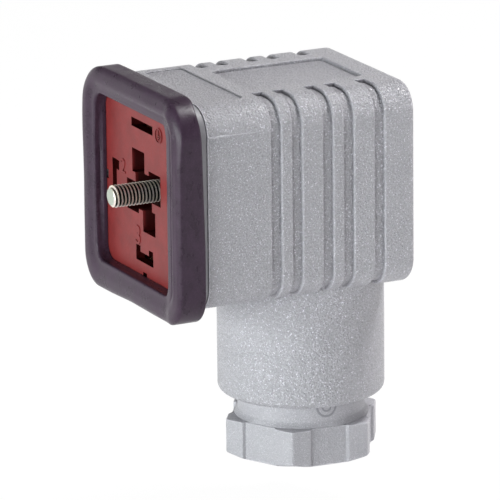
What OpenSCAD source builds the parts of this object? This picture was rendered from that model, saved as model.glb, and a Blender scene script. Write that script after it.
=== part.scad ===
// Square cable plug for a solenoid valve coil, as an assembly of separate pieces.
// X = 0 is the flat front lip of the profile gasket, +X runs to the closed rear wall,
// +Z is up and the cable leaves downwards. Lengths are in millimetres.

/* [Housing] */
// Width and height of the square housing
housing_w = 27.5; // [27.3:0.1:28.5]
// Distance from the mating face to the outside of the rear wall
housing_depth = 35.0; // [34.3:0.1:36]
// Radius of the four long edges
edge_r = 3.8; // [3:0.1:4]
// Thickness of the rear wall
rear_wall = 1.9; // [1.6:0.1:2.4]
// Width of each grip groove
groove_w = 1.42; // [1.2:0.02:1.6]
// Depth of each grip groove
groove_depth = 0.5; // [0.3:0.05:0.6]
// Half distance between the groove ends on the top face
groove_end = 7.9; // [7.5:0.1:9]

/* [Gasket] */
// Width and height of the profile gasket
gasket_w = 30.2; // [29.6:0.1:30.6]
// Length of the gasket along the plug
gasket_depth = 3.5; // [3:0.1:3.8]
// Width of the opening in the gasket's front lip
gasket_opening = 23.0; // [22.6:0.1:23.2]

/* [Contact carrier] */
// Width and height of the contact carrier
carrier_w = 23.5; // [23.4:0.1:23.6]
// Setback of the carrier's face behind the mating face
face_x = 1.75; // [1.7:0.05:1.9]
// Distance from the centre to the middle of each contact slot
contact_pitch = 9.05; // [9:0.05:9.2]

/* [Fixing screw] */
// Radius of the thread of the fixing screw
screw_r = 1.5; // [1.5:0.05:1.6]
// How far the screw tip stands out of the mating face
screw_reach = 3.1; // [2.5:0.1:4.5]

/* [Cable gland] */
// Outer radius of the neck that holds the gland
neck_r = 11.26; // [11:0.02:11.4]
// Distance from the mating face to the gland's axis
gland_x = 24.66; // [24.4:0.02:24.8]
// Level of the neck's lower end
neck_bottom = -29.9; // [-31:0.1:-29.5]
// Radius of the gland screw's threaded sleeve
sleeve_r = 8.6; // [8.4:0.05:8.7]
// Radius over the corners of the gland screw's hexagon
hex_r = 11.05; // [10.8:0.05:11.3]
// Cable bore of the sealing grommet, as a radius
cable_r = 3.5; // [2.5:0.1:4]

/* [Hidden] */
$fn = 48;

// Turns about the X axis that put the earth contact on top and the poles around it
EARTH = 0;
POLE_1 = 90;
POLE_3 = 180;
POLE_2 = 270;

running_gap = 0.05;
seat_gap = 0.05;
reach_over = 1;
sliver = 0.01;

half_w = housing_w / 2;
edge_c = half_w - edge_r;

// Housing, along X
rim_x = face_x;
rim_w = 26.4;
rim_r = 2.9;
body_x = gasket_depth + 0.1;
seam_x = 4.46;
seam_w = 0.2;
seam_depth = 0.2;
rear_fillet = 0.9;
cavity_w = carrier_w + 0.2;
cavity_r = 1.9;
carrier_stop_x = 19.5;
back_cavity_w = 22.9;
back_cavity_r = 1.6;
cavity_end = housing_depth - rear_wall;
groove_pair = 3.05;
groove_group = 7.58;
groove_x = [13.85, 13.85 + groove_pair, 13.85 + groove_group,
            13.85 + groove_group + groove_pair, 13.85 + 2 * groove_group];
lip_r = 0.22;

// Recessed fields on the top face: first X, last X, half width, depth
small_field = [6.4, 11.85, 9.5, 0.25];
large_field = [14.5, 31.2, 5.9, 0.5];
field_r = 0.7;

// Boss and seat of the fixing screw
boss_r = 4.4;
boss_x = 23;
seal_seat_x = 31;
recess_r = 3.3;
recess_chamfer = 0.3;
shank_r = 1.2;
shank_x = 5.6;
screw_length = 35;
head_x = screw_length - screw_reach;
head_r = 2.75;
head_h = 2.1;
tip_chamfer = 0.35;

// Neck and gland, along Z
neck_fillet = 1;
neck_top = -12.5;
thread_end = -19.0;
grommet_seat = -13;
grommet_end = -18.2;
upper_bore_r = 8.3;
passage_r = 6.2;
hex_top = -33.1;
hex_bottom = -38.4;
hex_corner_bottom = -37.72;
hex_turn = -3.1;
foot_h = 0.6;
grip_w = 5.2;
grip_floor = 9.15;
bottom_cone_r = 9.4;
sleeve_top = -21.9;
gland_bore_r = 5.2;
entry_cone_h = 2.46;
entry_flare = 1.5;
washer_h = 0.9;
washer_bore_r = 4.2;
washer_top = sleeve_top + seat_gap + washer_h;
washer_r = 8.1;

// Contact carrier, along X
block_end = 11.5;
pocket_x = face_x + 1.25;
pocket_half = 3.35;
pocket_h = 3;
screw_tunnel_r = 1.9;
window_depth = 4.25;
carrier_end = carrier_stop_x - 0.1;
wire_window = 3.5;
post_t = 1.1;
tube_r = 3.2;
divider_t = 1.4;

// Terminals: distance from the centre, then places along X at rest
terminal_n = 8.2;
terminal_half = 2.6;
terminal_x = [block_end + seat_gap, 14.8];
clamp_x = [15.9, 16.8];
clamp_half = 2.7;
terminal_head_x = 16.85;
terminal_head_h = 1.75;
terminal_tip_x = 12.7;

// ---------------------------------------------------------------- placing

// Extrudes a (Y, Z) outline from x0 to x1
module along_x(x0, x1)
  translate([x0, 0, 0]) rotate([90, 0, 90]) linear_extrude(x1 - x0) children();

// Stands a shape that was built along local Z on the X axis, starting at x0
module facing_x(x0)
  translate([x0, 0, 0]) rotate([90, 0, 90]) children();

// Round bar on the X axis
module rod_x(x0, x1, r)
  translate([x0, 0, 0]) rotate([0, 90, 0]) cylinder(h = x1 - x0, r = r);

// Cone on the X axis, from radius r0 at x0 to radius r1 at x1
module cone_x(x0, x1, r0, r1)
  translate([x0, 0, 0]) rotate([0, 90, 0]) cylinder(h = x1 - x0, r1 = r0, r2 = r1);

// Puts a contact's piece, drawn for the top place, at its place round the axis
module at_pole(turn)
  rotate([turn, 0, 0]) children();

// ---------------------------------------------------------------- outlines

module rounded_square(w, r) {
  square([w, w - 2 * r], center = true);
  square([w - 2 * r, w], center = true);
  for (a = [45 : 90 : 315])
    translate([sign(cos(a)), sign(sin(a))] * (w / 2 - r)) circle(r);
}

// Sweeps a profile (x outward from the corner centres, y along the axis) round
// a rectangle with rounded corners, whose corner centres are at +-cx and +-cy
module rect_sweep(cx, cy) {
  for (mx = [0, 1], my = [0, 1])
    mirror([mx, 0, 0]) mirror([0, my, 0])
      translate([cx, cy, 0]) rotate_extrude(angle = 90) children();
  for (m = [0, 1]) {
    mirror([m, 0, 0]) translate([cx, cy, 0])
      rotate([90, 0, 0]) linear_extrude(2 * cy) children();
    mirror([0, m, 0]) translate([-cx, cy, 0])
      rotate([90, 0, 90]) linear_extrude(2 * cx) children();
  }
}

// Square block along local Z with round long edges and a fillet at its far end
module filleted_block(w, r, h, f) {
  c = w / 2 - r;
  rect_sweep(c, c) {
    square([r, h - f]);
    square([r - f, h]);
    translate([r - f, h - f]) intersection() {
      circle(f);
      square(f);
    }
  }
  translate([-c, -c, 0]) cube([2 * c, 2 * c, h]);
}

// Removes a sharp edge at x = edge, y = 0 and leaves a round one of radius r
module edge_rounding(edge, r)
  difference() {
    translate([edge - r, -r]) square([r + reach_over, r]);
    translate([edge - r, -r]) circle(r);
  }

// ---------------------------------------------------------------- housing

// Cross-section of a grip groove, with softly rounded lips
module groove_profile() {
  translate([edge_r - groove_depth, 0]) square([groove_depth + reach_over, groove_w]);
  edge_rounding(edge_r, lip_r);
  translate([0, groove_w]) mirror([0, 1]) edge_rounding(edge_r, lip_r);
}

// One groove on both sides; it wraps over the long edges and ends on top and below
module grip_groove(x)
  facing_x(x) for (mx = [0, 1]) mirror([mx, 0, 0]) {
    translate([edge_c, edge_c, 0])
      rotate([90, 0, 0]) linear_extrude(2 * edge_c) groove_profile();
    for (my = [0, 1]) mirror([0, my, 0]) {
      translate([edge_c, edge_c, 0]) rotate_extrude(angle = 90) groove_profile();
      translate([groove_end, edge_c, 0])
        rotate([90, 0, 90]) linear_extrude(edge_c - groove_end) groove_profile();
    }
  }

// Recessed field on the top face, with a rounded lip all round
module top_field(field) {
  cx = (field[1] - field[0]) / 2 - field_r;
  cy = field[2] - field_r;
  translate([(field[0] + field[1]) / 2, 0, half_w]) {
    rect_sweep(cx, cy) {
      translate([0, -field[3]]) square([field_r, field[3] + reach_over]);
      difference() {
        translate([field_r, -lip_r]) square([lip_r, lip_r + reach_over]);
        translate([field_r + lip_r, -lip_r]) circle(lip_r);
      }
    }
    translate([-cx, -cy, -field[3]]) cube([2 * cx, 2 * cy, field[3] + reach_over]);
  }
}

// Fine seam between the smooth front band and the grained body
module front_seam()
  facing_x(seam_x) rect_sweep(edge_c, edge_c)
    translate([edge_r - seam_depth, -seam_w / 2]) square([reach_over, seam_w]);

module neck() {
  difference() {
    translate([gland_x, 0, 0]) rotate_extrude($fn = 96) {
      translate([0, neck_bottom + neck_fillet])
        square([neck_r, neck_top - neck_bottom - neck_fillet]);
      translate([0, neck_bottom]) square([neck_r - neck_fillet, neck_fillet]);
      translate([neck_r - neck_fillet, neck_bottom + neck_fillet]) circle(neck_fillet);
    }
    translate([housing_depth, -neck_r, neck_bottom - reach_over])
      cube([neck_r, 2 * neck_r, neck_top - neck_bottom + 2 * reach_over]);
  }
}

module cavity() {
  along_x(rim_x - reach_over, carrier_stop_x) rounded_square(cavity_w, cavity_r);
  along_x(carrier_stop_x - reach_over, cavity_end)
    rounded_square(back_cavity_w, back_cavity_r);
}

module gland_bore()
  translate([gland_x, 0, 0]) rotate_extrude($fn = 96) {
    translate([0, neck_bottom - reach_over])
      square([sleeve_r + running_gap, thread_end - neck_bottom + reach_over]);
    translate([0, thread_end - reach_over])
      square([upper_bore_r, grommet_seat - thread_end + reach_over]);
    translate([0, grommet_seat - reach_over])
      square([passage_r, reach_over + 2 - grommet_seat - back_cavity_w / 2]);
  }

// Outside of the housing: block, rim for the gasket, grooves and top fields
module ribbed_block()
  difference() {
    union() {
      facing_x(body_x)
        filleted_block(housing_w, edge_r, housing_depth - body_x, rear_fillet);
      along_x(rim_x, body_x + reach_over) rounded_square(rim_w, rim_r);
    }
    for (x = groove_x) grip_groove(x);
    top_field(small_field);
    top_field(large_field);
    front_seam();
  }

module housing()
  color("#a5a3a8") difference() {
    union() {
      difference() {
        union() {
          ribbed_block();
          neck();
        }
        cavity();
      }
      rod_x(boss_x, cavity_end + reach_over / 2, boss_r);
    }
    gland_bore();
    rod_x(boss_x - reach_over, housing_depth, shank_r + running_gap);
    rod_x(seal_seat_x, housing_depth + reach_over, recess_r);
    cone_x(housing_depth - recess_chamfer, housing_depth + sliver,
           recess_r, recess_r + recess_chamfer + sliver);
  }

// ---------------------------------------------------------------- gasket

gasket_r = 4.3;
gasket_c = gasket_w / 2 - gasket_r;
gasket_nose_r = 0.4;
gasket_heel = 0.3;
bead_h = 0.25;
bead_w = 1.4;
bead_ramp = 0.6;
bead_groove_r = 0.26;
bead_groove = [gasket_r - bead_w - bead_ramp - 0.2, -0.12];
gasket_lip = 1.05;
gasket_opening_r = 2.1;
gasket_relief = 0.5;

// Half section of the gasket from the corner centres outward
module gasket_section()
  difference() {
    union() {
      polygon([
        [0, 0], [gasket_r - bead_w - bead_ramp, 0], [gasket_r - bead_w, -bead_h],
        [gasket_r - gasket_nose_r, -bead_h], [gasket_r, gasket_nose_r - bead_h],
        [gasket_r, gasket_depth - gasket_heel], [gasket_r - gasket_heel, gasket_depth],
        [0, gasket_depth]
      ]);
      translate([gasket_r - gasket_nose_r, gasket_nose_r - bead_h]) circle(gasket_nose_r);
      translate([gasket_r - gasket_heel, gasket_depth - gasket_heel]) circle(gasket_heel);
    }
    translate(bead_groove) circle(bead_groove_r);
  }

module profile_gasket()
  color("#4a454e") difference() {
    union() {
      facing_x(0) {
        rect_sweep(gasket_c, gasket_c) gasket_section();
        translate([-gasket_c, -gasket_c, 0])
          cube([2 * gasket_c, 2 * gasket_c, gasket_depth]);
      }
    }
    along_x(-reach_over, gasket_depth) rounded_square(gasket_opening, gasket_opening_r);
    along_x(gasket_lip, gasket_depth)
      rounded_square(gasket_opening + gasket_relief, gasket_opening_r + gasket_relief / 2);
    along_x(face_x - seat_gap, gasket_depth + reach_over)
      rounded_square(rim_w + 2 * running_gap, rim_r + running_gap);
  }

// ---------------------------------------------------------------- carrier

// Star-shaped opening round the fixing screw, in (Y, Z), with a half-turn symmetry
module centre_opening() {
  square([5, 5.2], center = true);
  for (a = [0, 180]) rotate(a) {
    translate([-0.35, 2.15]) square([3.8, 3.25]);
    translate([-5.2, -0.9]) square([3.6, 4.15]);
  }
}

// Slot of a pole contact, drawn at the top place: a bar with two feet inward
module pole_slot()
  translate([0, contact_pitch]) {
    square([5.3, 1.3], center = true);
    for (s = [-1, 1]) translate([s * 1.95 - 0.65, -1.45]) square([1.3, 1.5]);
  }

module earth_slot()
  translate([0.25, contact_pitch - 0.1]) square([6.5, 1.2], center = true);

module contact_pocket()
  translate([pocket_x, -pocket_half, contact_pitch - pocket_h / 2])
    cube([block_end - pocket_x + reach_over, 2 * pocket_half, pocket_h]);

// Corner posts, dividers and the tube round the fixing screw behind the block
module carrier_frame() {
  along_x(block_end - reach_over, carrier_end) {
    difference() {
      rounded_square(carrier_w, 1.85);
      rounded_square(carrier_w - 2 * post_t, 1.2);
      for (a = [0, 90]) rotate(a) square([carrier_w + 2, 2 * wire_window], center = true);
    }
    for (a = [45, 135]) rotate(a)
      square([2 * (carrier_w / 2 - post_t) * sqrt(2) - 1, divider_t], center = true);
  }
  rod_x(block_end - reach_over, carrier_end - 1, tube_r);
}

module contact_carrier()
  color("#a85050") difference() {
    union() {
      along_x(face_x, block_end) rounded_square(carrier_w, 1.85);
      carrier_frame();
    }
    along_x(face_x - reach_over, face_x + window_depth) centre_opening();
    rod_x(face_x, carrier_end + reach_over, screw_tunnel_r);
    along_x(face_x - reach_over, pocket_x + 0.5) {
      earth_slot();
      for (a = [POLE_1, POLE_2, POLE_3]) rotate(a) pole_slot();
      for (a = [0 : 90 : 270]) rotate(a)
        translate([-0.6, carrier_w / 2 - 0.75]) square([1.2, 1.5]);
    }
    for (a = [EARTH, POLE_1, POLE_3, POLE_2]) at_pole(a) contact_pocket();
  }

// ---------------------------------------------------------------- contacts

fork_x = pocket_x + 0.4;
fork_half = 2.6;

// Side outline of the spring fork: two leaves that bow in to grip the tab
module fork_outline()
  for (m = [0, 1]) mirror([0, m])
    polygon([
      [fork_x, 0.8], [fork_x + 1.6, 0.42], [fork_x + 3.6, 0.75], [block_end - 0.8, 0.75],
      [block_end - 0.8, 0], [block_end + reach_over, 0], [block_end + reach_over, 1.2],
      [fork_x + 3.6, 1.2], [fork_x + 1.6, 0.85], [fork_x, 1.25]
    ]);

// Spring fork in front and the threaded terminal block behind, for the top place
module contact()
  color("#c9a050") difference() {
    union() {
      translate([0, fork_half, contact_pitch]) rotate([90, 0, 0])
        linear_extrude(2 * fork_half) fork_outline();
      translate([terminal_x[0], -terminal_half, terminal_n - terminal_half])
        cube([terminal_x[1] - terminal_x[0], 2 * terminal_half, 2 * terminal_half]);
    }
    translate([0, 0, terminal_n])
      rod_x(terminal_x[0], terminal_x[1] + reach_over, screw_r + running_gap);
  }

module contact_1() at_pole(POLE_1) contact();
module contact_2() at_pole(POLE_2) contact();
module contact_3() at_pole(POLE_3) contact();
module earth_contact() at_pole(EARTH) contact();

// Square plate under the screw head, with turned-down edges that hold the wire
module wire_clamp()
  color("#b9bcc0") difference() {
    union() {
      translate([clamp_x[0], -clamp_half, terminal_n - clamp_half])
        cube([clamp_x[1] - clamp_x[0], 2 * clamp_half, 2 * clamp_half]);
      for (m = [0, 1]) mirror([0, m, 0])
        translate([clamp_x[0] - 0.5, clamp_half, terminal_n - clamp_half])
          cube([clamp_x[1] - clamp_x[0] + 0.5, 0.35, 2 * clamp_half]);
    }
    translate([0, 0, terminal_n])
      rod_x(clamp_x[0] - reach_over, clamp_x[1] + reach_over, screw_r + running_gap);
  }

module wire_clamp_1() at_pole(POLE_1) wire_clamp();
module wire_clamp_2() at_pole(POLE_2) wire_clamp();
module wire_clamp_3() at_pole(POLE_3) wire_clamp();
module earth_clamp() at_pole(EARTH) wire_clamp();

// Slot and cross cut into a screw head whose top is at x
module combined_recess(x, r, depth) {
  translate([x - depth, -r - reach_over, -0.4]) cube([depth + reach_over, 2 * r + 2, 0.8]);
  translate([x - depth, -0.4, -0.6 * r]) cube([depth + reach_over, 0.8, 1.2 * r]);
}

module terminal_screw()
  color("#c4c6ca") translate([0, 0, terminal_n]) difference() {
    union() {
      cone_x(terminal_tip_x, terminal_tip_x + tip_chamfer, screw_r - tip_chamfer, screw_r);
      rod_x(terminal_tip_x + tip_chamfer, terminal_head_x + 0.1, screw_r);
      rod_x(terminal_head_x, terminal_head_x + terminal_head_h - 0.3, clamp_half);
      cone_x(terminal_head_x + terminal_head_h - 0.3, terminal_head_x + terminal_head_h,
             clamp_half, clamp_half - 0.3);
    }
    combined_recess(terminal_head_x + terminal_head_h, clamp_half, 0.9);
  }

module terminal_screw_1() at_pole(POLE_1) terminal_screw();
module terminal_screw_2() at_pole(POLE_2) terminal_screw();
module terminal_screw_3() at_pole(POLE_3) terminal_screw();
module earth_screw() at_pole(EARTH) terminal_screw();

// ---------------------------------------------------------------- fixing screw

// Captive screw: thread only at the tip, thin shank behind it, cheese head
module fixing_screw()
  color("#b8b09a") difference() {
    union() {
      cone_x(-screw_reach, tip_chamfer - screw_reach, screw_r - tip_chamfer, screw_r);
      rod_x(tip_chamfer - screw_reach, shank_x, screw_r);
      rod_x(shank_x - 0.1, head_x + 0.1, shank_r);
      rod_x(head_x, head_x + head_h - 0.3, head_r);
      cone_x(head_x + head_h - 0.3, head_x + head_h, head_r, head_r - 0.3);
    }
    combined_recess(head_x + head_h, head_r, 1.1);
  }

// Flat rubber seal between the screw head and the bottom of its recess
module screw_seal()
  color("#2c2a2e") difference() {
    rod_x(seal_seat_x + seat_gap, head_x - seat_gap, recess_r - 0.35);
    rod_x(seal_seat_x - reach_over, head_x + reach_over, shank_r + running_gap);
  }

// ---------------------------------------------------------------- gland

// Hexagon whose flats carry a finger recess, with a conical lower edge
module gland_hexagon()
  intersection() {
    rotate(hex_turn) translate([0, 0, hex_bottom]) linear_extrude(hex_top - hex_bottom)
      difference() {
        circle(hex_r, $fn = 6);
        for (a = [30 : 60 : 330]) rotate(a)
          translate([grip_floor, -grip_w / 2]) square([hex_r, grip_w]);
      }
    rotate_extrude($fn = 96) polygon([
      [0, hex_bottom], [bottom_cone_r, hex_bottom], [hex_r, hex_corner_bottom],
      [hex_r + reach_over, hex_corner_bottom], [hex_r + reach_over, hex_top], [0, hex_top]
    ]);
  }

module gland_screw()
  color("#a9a8ad") translate([gland_x, 0, 0]) difference() {
    union() {
      gland_hexagon();
      translate([0, 0, hex_top - reach_over])
        cylinder(h = sleeve_top - hex_top + reach_over, r = sleeve_r, $fn = 96);
      translate([0, 0, hex_top])
        cylinder(h = foot_h, r1 = grip_floor, r2 = sleeve_r, $fn = 96);
    }
    translate([0, 0, hex_bottom - reach_over])
      cylinder(h = sleeve_top - hex_bottom + 2 * reach_over, r = gland_bore_r, $fn = 96);
    translate([0, 0, hex_bottom - sliver])
      cylinder(h = entry_cone_h, r1 = gland_bore_r + entry_flare, r2 = gland_bore_r, $fn = 96);
  }

module gland_washer()
  color("#d8d6d0") translate([gland_x, 0, washer_top - washer_h]) difference() {
    cylinder(h = washer_h, r = washer_r, $fn = 96);
    translate([0, 0, -reach_over])
      cylinder(h = washer_h + 2 * reach_over, r = washer_bore_r, $fn = 96);
  }

// Rubber ring with concentric cuts, so that inner rings can be peeled for thicker cable
module cable_grommet()
  color("#33313a") translate([gland_x, 0, 0]) rotate_extrude($fn = 96)
    difference() {
      translate([cable_r, grommet_end])
        square([upper_bore_r - running_gap - cable_r, grommet_seat - seat_gap - grommet_end]);
      for (r = [cable_r + 1.1, cable_r + 2.4])
        translate([r, grommet_end - reach_over]) square([0.3, reach_over + 3.6]);
    }

housing();
profile_gasket();
contact_carrier();
contact_1();
contact_2();
contact_3();
earth_contact();
wire_clamp_1();
wire_clamp_2();
wire_clamp_3();
earth_clamp();
terminal_screw_1();
terminal_screw_2();
terminal_screw_3();
earth_screw();
fixing_screw();
screw_seal();
gland_screw();
gland_washer();
cable_grommet();
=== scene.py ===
"""Looks of a square cable plug for a solenoid valve coil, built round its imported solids.

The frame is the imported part's own, in metres: X = 0 is the front face of the profile
gasket, +X runs to the closed rear wall, +Z is up and the cable leaves downwards. Sizes
in this file are written in millimetres and turned into metres where a mesh is made.
"""
import logging
import math
from dataclasses import dataclass
from enum import Enum
from functools import cache
from typing import Callable, Iterable, Sequence

import bmesh
import bpy
from mathutils import Matrix, Vector, noise


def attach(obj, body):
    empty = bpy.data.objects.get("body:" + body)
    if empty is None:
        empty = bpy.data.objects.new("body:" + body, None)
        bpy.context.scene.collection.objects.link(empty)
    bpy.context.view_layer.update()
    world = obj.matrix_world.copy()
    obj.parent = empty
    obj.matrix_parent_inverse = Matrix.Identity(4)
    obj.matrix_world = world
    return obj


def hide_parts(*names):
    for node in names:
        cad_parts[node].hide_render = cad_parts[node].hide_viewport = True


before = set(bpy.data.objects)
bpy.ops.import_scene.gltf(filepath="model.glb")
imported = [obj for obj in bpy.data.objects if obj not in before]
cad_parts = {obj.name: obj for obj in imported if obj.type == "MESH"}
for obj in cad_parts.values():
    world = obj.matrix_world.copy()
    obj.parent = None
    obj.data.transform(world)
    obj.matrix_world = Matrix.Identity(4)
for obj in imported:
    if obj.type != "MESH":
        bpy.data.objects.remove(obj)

LOG = logging.getLogger("cable_plug")
MM = 0.001
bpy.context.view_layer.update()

Colour = tuple[float, float, float]
Point = tuple[float, float, float]
Pair = tuple[float, float]
Ring = list[Point]
Socket = bpy.types.NodeSocket
Feed = Socket | Point | float


# ---- shader building


class Nodes:
    """Short calls for the nodes that materials and the world share."""

    def __init__(self, tree: bpy.types.NodeTree) -> None:
        """Keeps the tree that the nodes go into."""
        self.tree = tree

    def node(self, kind: str, feeds: dict[str | int, Feed] | None = None,
             **settings: object) -> bpy.types.Node:
        """Adds a node.

        Args:
            kind: the node's type name.
            feeds: values or sockets for its inputs, by name or place.
            settings: properties of the node, by name.

        Returns:
            The new node.
        """
        made = self.tree.nodes.new(kind)
        for key, value in settings.items():
            setattr(made, key, value)
        for key, value in (feeds or {}).items():
            self.feed(made.inputs[key], value)
        return made

    def feed(self, end: Socket, value: Feed) -> None:
        """Gives an input a socket or a value.

        Args:
            end: the input.
            value: an output that is linked to it, a colour, a vector or a number.
        """
        if isinstance(value, bpy.types.NodeSocket):
            self.tree.links.new(value, end)
        else:
            end.default_value = (*value, 1.0) if end.type == "RGBA" else value

    def ramp(self, value: Socket, low: float, high: float, start: float = 0.0,
             end: float = 1.0, how: str = "SMOOTHSTEP") -> Socket:
        """Maps a value from one range to another and stops it at both ends.

        Args:
            value: the value to map.
            low: where the result is start.
            high: where the result is end.
            start: result at low.
            end: result at high.
            how: the way in between, SMOOTHSTEP or LINEAR.

        Returns:
            The mapped value.
        """
        feeds = {"Value": value, "From Min": low, "From Max": high, "To Min": start,
                 "To Max": end}
        return self.node("ShaderNodeMapRange", feeds, interpolation_type=how).outputs["Result"]

    def math(self, how: str, a: Feed, b: Feed = 0.0) -> Socket:
        """Combines two values by the operation that how names."""
        return self.node("ShaderNodeMath", {0: a, 1: b}, operation=how).outputs["Value"]

    def light(self, kind: str, strength: Feed) -> Socket:
        """Adds a white Emission or Background, which is plain white at strength 1."""
        feeds = {"Color": (1.0, 1.0, 1.0), "Strength": strength}
        return self.node(kind, feeds).outputs[0]

    def mix(self, share: Socket, low: Socket, high: Socket) -> Socket:
        """Mixes two shaders by the share of the second."""
        return self.node("ShaderNodeMixShader", {0: share, 1: low, 2: high}).outputs["Shader"]

    def ray(self, kind: str) -> Socket:
        """Gives 1 for rays of one kind: Camera, Glossy or Transmission."""
        return self.node("ShaderNodeLightPath").outputs[f"Is {kind} Ray"]

    def mirrored(self) -> Socket:
        """Gives 1 where a reflection or a glass part sees the surface."""
        return self.math("MAXIMUM", self.ray("Glossy"), self.ray("Transmission"))


class Sheet(Nodes):
    """A material's nodes, round one Principled shader."""

    def __init__(self, name: str) -> None:
        """Starts a material with its shader.

        Args:
            name: the material's name.
        """
        self.material = bpy.data.materials.new(name)
        self.material.use_nodes = True
        super().__init__(self.material.node_tree)
        self.shader = self.tree.nodes["Principled BSDF"]
        self.output = self.tree.nodes["Material Output"]
        self.place = self.node("ShaderNodeTexCoord").outputs["Object"]

    def set(self, **values: Feed) -> None:
        """Feeds the shader's inputs, where an underscore in a name stands for a space."""
        for name, value in values.items():
            self.feed(self.shader.inputs[name.replace("_", " ")], value)

    def noise(self, grain_mm: float, detail: float = 2.0, stretch: Point = (1, 1, 1),
              rough: float = 0.5) -> Socket:
        """Adds solid noise.

        Args:
            grain_mm: size of the noise's features, in millimetres.
            detail: how many finer layers it has.
            stretch: how much denser it is along each axis.
            rough: how strong the finer layers are.

        Returns:
            The noise's value, about 0.5 on average.
        """
        place = self.node("ShaderNodeMapping", {"Vector": self.place, "Scale": stretch})
        feeds = {"Vector": place.outputs["Vector"], "Scale": 1.0 / (grain_mm * MM),
                 "Detail": detail, "Roughness": rough}
        return self.node("ShaderNodeTexNoise", feeds).outputs["Fac"]

    def axis(self, name: str) -> Socket:
        """Gives the place along one axis, in metres."""
        return self.node("ShaderNodeSeparateXYZ", {"Vector": self.place}).outputs[name]

    def past(self, value: Socket, border_mm: float) -> Socket:
        """Gives 0 below a border and 1 above it, with a short way in between."""
        return self.ramp(value, (border_mm - 0.05) * MM, (border_mm + 0.05) * MM)

    def openness(self, reach_mm: float, inward: bool = False) -> Socket:
        """Gives 1 on open surfaces and less in the piece's own corners and slots.

        Args:
            reach_mm: how far a facing surface still counts, in millimetres.
            inward: look into the piece, which finds its edges instead.

        Returns:
            The share of open surroundings.
        """
        return self.node("ShaderNodeAmbientOcclusion", {"Distance": reach_mm * MM}, samples=8,
                         only_local=True, inside=inward).outputs["AO"]

    def blend(self, factor: Socket, low: Colour | Socket, high: Colour | Socket) -> Socket:
        """Blends two colours by the share of the second; the node has them at 6 and 7."""
        feeds = {0: factor, 6: low, 7: high}
        return self.node("ShaderNodeMix", feeds, data_type="RGBA").outputs[2]

    def bump(self, height: Socket, depth_mm: float) -> Socket:
        """Tilts the normal by a height, where a height of 1 stands for the depth."""
        feeds = {"Strength": 1.0, "Distance": depth_mm * MM, "Height": height}
        return self.node("ShaderNodeBump", feeds).outputs["Normal"]


@dataclass(frozen=True)
class Finish:
    """What a surface is made of; each kind of finish adds its own texture."""

    name: str
    slot: str
    colour: Colour
    roughness: float

    @cache
    def material(self) -> bpy.types.Material:
        """Builds the material of this finish the first time that it is asked for.

        Returns:
            The finished material.
        """
        sheet = Sheet(self.name)
        sheet.set(Base_Color=self.colour, Roughness=self.roughness)
        self.texture(sheet)
        return sheet.material

    def texture(self, sheet: Sheet) -> None:
        """Adds the finish's own colour variation, gloss and relief to the sheet."""
        raise NotImplementedError

    def tint(self, amount: float) -> Colour:
        """Gives the base colour, lighter or darker by a factor."""
        return tuple(min(1.0, c * amount) for c in self.colour)


@dataclass(frozen=True)
class GrainedPlastic(Finish):
    """Spark-eroded moulded plastic that glitters in fine grains, partly through its relief and
    partly through painted glints.
    """

    grain: float = 0.27
    relief: float = 0.075
    # how strong the painted glints are
    painted_glint_strength: float = 0.9
    contrast: float = 0.14
    shine: float = 0.95
    # colour factor of the painted highlights on convex edges
    edge_highlight_tint: float = 1.9
    # colour factor of the painted shade in corners and grooves
    corner_shade_tint: float = 0.9
    smooth_before: float | None = None

    def texture(self, sheet: Sheet) -> None:
        """Adds eroded grain, painted glints and edge highlights, painted corner shade, a smooth
        front band.

        Args:
            sheet: the material's nodes.
        """
        pits = sheet.ramp(sheet.noise(self.grain, 2.0, rough=0.6), 0.32, 0.68)
        lumps = sheet.ramp(sheet.noise(self.grain * 2.3, 2.0), 0.35, 0.65)
        facets = sheet.noise(self.grain * 0.75, 1.0, rough=0.7)
        patches = sheet.noise(3.5, 3.0)
        height = sheet.math("ADD", pits, sheet.math("MULTIPLY", lumps, 0.7))
        # painted glints: specks where the facets stand out are drawn lighter in the colour
        painted_glints = sheet.math("MULTIPLY", sheet.ramp(facets, 0.59, 0.68), self.painted_glint_strength)
        gloss = sheet.ramp(facets, 0.5, 0.68, self.roughness, self.roughness * 0.4)
        shade = sheet.blend(pits, self.tint(1 - self.contrast), self.tint(1 + self.contrast))
        shade = sheet.blend(sheet.ramp(patches, 0.35, 0.7, 0.0, 0.5), shade, self.tint(1.05))
        if self.smooth_before is not None:
            grained = sheet.past(sheet.axis("X"), self.smooth_before)
            height = sheet.math("MULTIPLY", height, sheet.math("ADD", grained, 0.1))
            painted_glints = sheet.math("MULTIPLY", painted_glints, grained)
            gloss = sheet.math("ADD", gloss, sheet.ramp(grained, 0.0, 1.0, 0.25, 0.0))
        colour = sheet.blend(painted_glints, shade, self.tint(2.3))
        # painted highlights along convex edges, which the inward look finds
        painted_edge_highlights = sheet.ramp(sheet.openness(0.35, inward=True), 0.64, 0.9, 1.0, 0.0)
        colour = sheet.blend(painted_edge_highlights, colour, self.tint(self.edge_highlight_tint))
        # painted shade in the piece's own corners, grooves and ledges
        unshaded_share = sheet.ramp(sheet.openness(0.5), 0.35, 0.6)
        colour = sheet.blend(unshaded_share, self.tint(self.corner_shade_tint), colour)
        if self.smooth_before is not None:
            colour = sheet.blend(grained, self.tint(0.8), colour)
        sheet.set(Specular_IOR_Level=self.shine, Base_Color=colour, Roughness=gloss,
                  Normal=sheet.bump(height, self.relief))


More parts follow.
